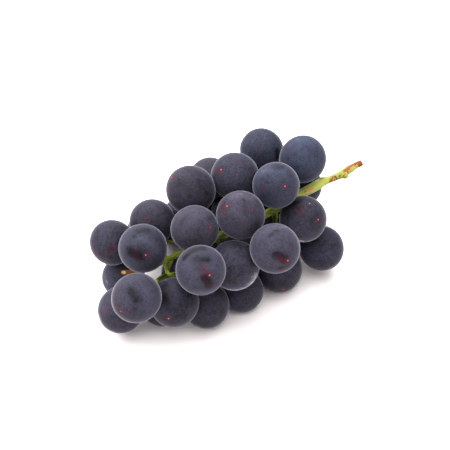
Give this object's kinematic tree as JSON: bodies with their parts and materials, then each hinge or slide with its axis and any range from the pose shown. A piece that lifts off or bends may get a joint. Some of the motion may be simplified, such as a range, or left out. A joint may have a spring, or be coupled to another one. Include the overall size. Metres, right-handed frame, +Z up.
{
  "type": "bunch of grapes",
  "caption": "Loose bunch of dark, bloom-covered round grapes lying on its side, each berry on a short stalklet round one green stalk with a brown cut end.",
  "frame": {"origin": "the middle of the bunch's bounding box, on the surface that it lies on", "axes": "+X along the stalk towards its cut end, +Z up from the surface, +Y towards the side that the picture doesn't show"},
  "size_m": [0.1758, 0.117, 0.0801],
  "materials": {
    "grape_skin": "dark blue-purple skin under a powdery, pale bloom that is rubbed off in smudges, dull all over",
    "green_stalk": "fresh yellow-green bark with brown scars, brown and dry at the cut end"
  },
  "bodies": {
    "root": {"berry_01": "grape_skin", "berry_02": "grape_skin", "berry_03": "grape_skin", "berry_04": "grape_skin", "berry_05": "grape_skin", "berry_06": "grape_skin", "berry_07": "grape_skin", "berry_08": "grape_skin", "berry_09": "grape_skin", "berry_10": "grape_skin", "berry_11": "grape_skin", "berry_12": "grape_skin", "berry_13": "grape_skin", "berry_14": "grape_skin", "berry_15": "grape_skin", "berry_16": "grape_skin", "berry_17": "grape_skin", "berry_18": "grape_skin", "berry_19": "grape_skin", "berry_20": "grape_skin", "berry_21": "grape_skin", "berry_22": "grape_skin", "berry_23": "grape_skin", "berry_24": "grape_skin", "berry_25": "grape_skin", "berry_26": "grape_skin", "berry_27": "grape_skin", "berry_28": "grape_skin", "berry_29": "grape_skin", "berry_30": "grape_skin", "berry_31": "grape_skin", "berry_32": "grape_skin", "berry_33": "grape_skin", "berry_34": "grape_skin", "berry_35": "grape_skin", "berry_36": "grape_skin", "berry_37": "grape_skin", "berry_38": "grape_skin", "berry_39": "grape_skin", "berry_40": "grape_skin", "stalk": "green_stalk"}
  },
  "joints": []
}
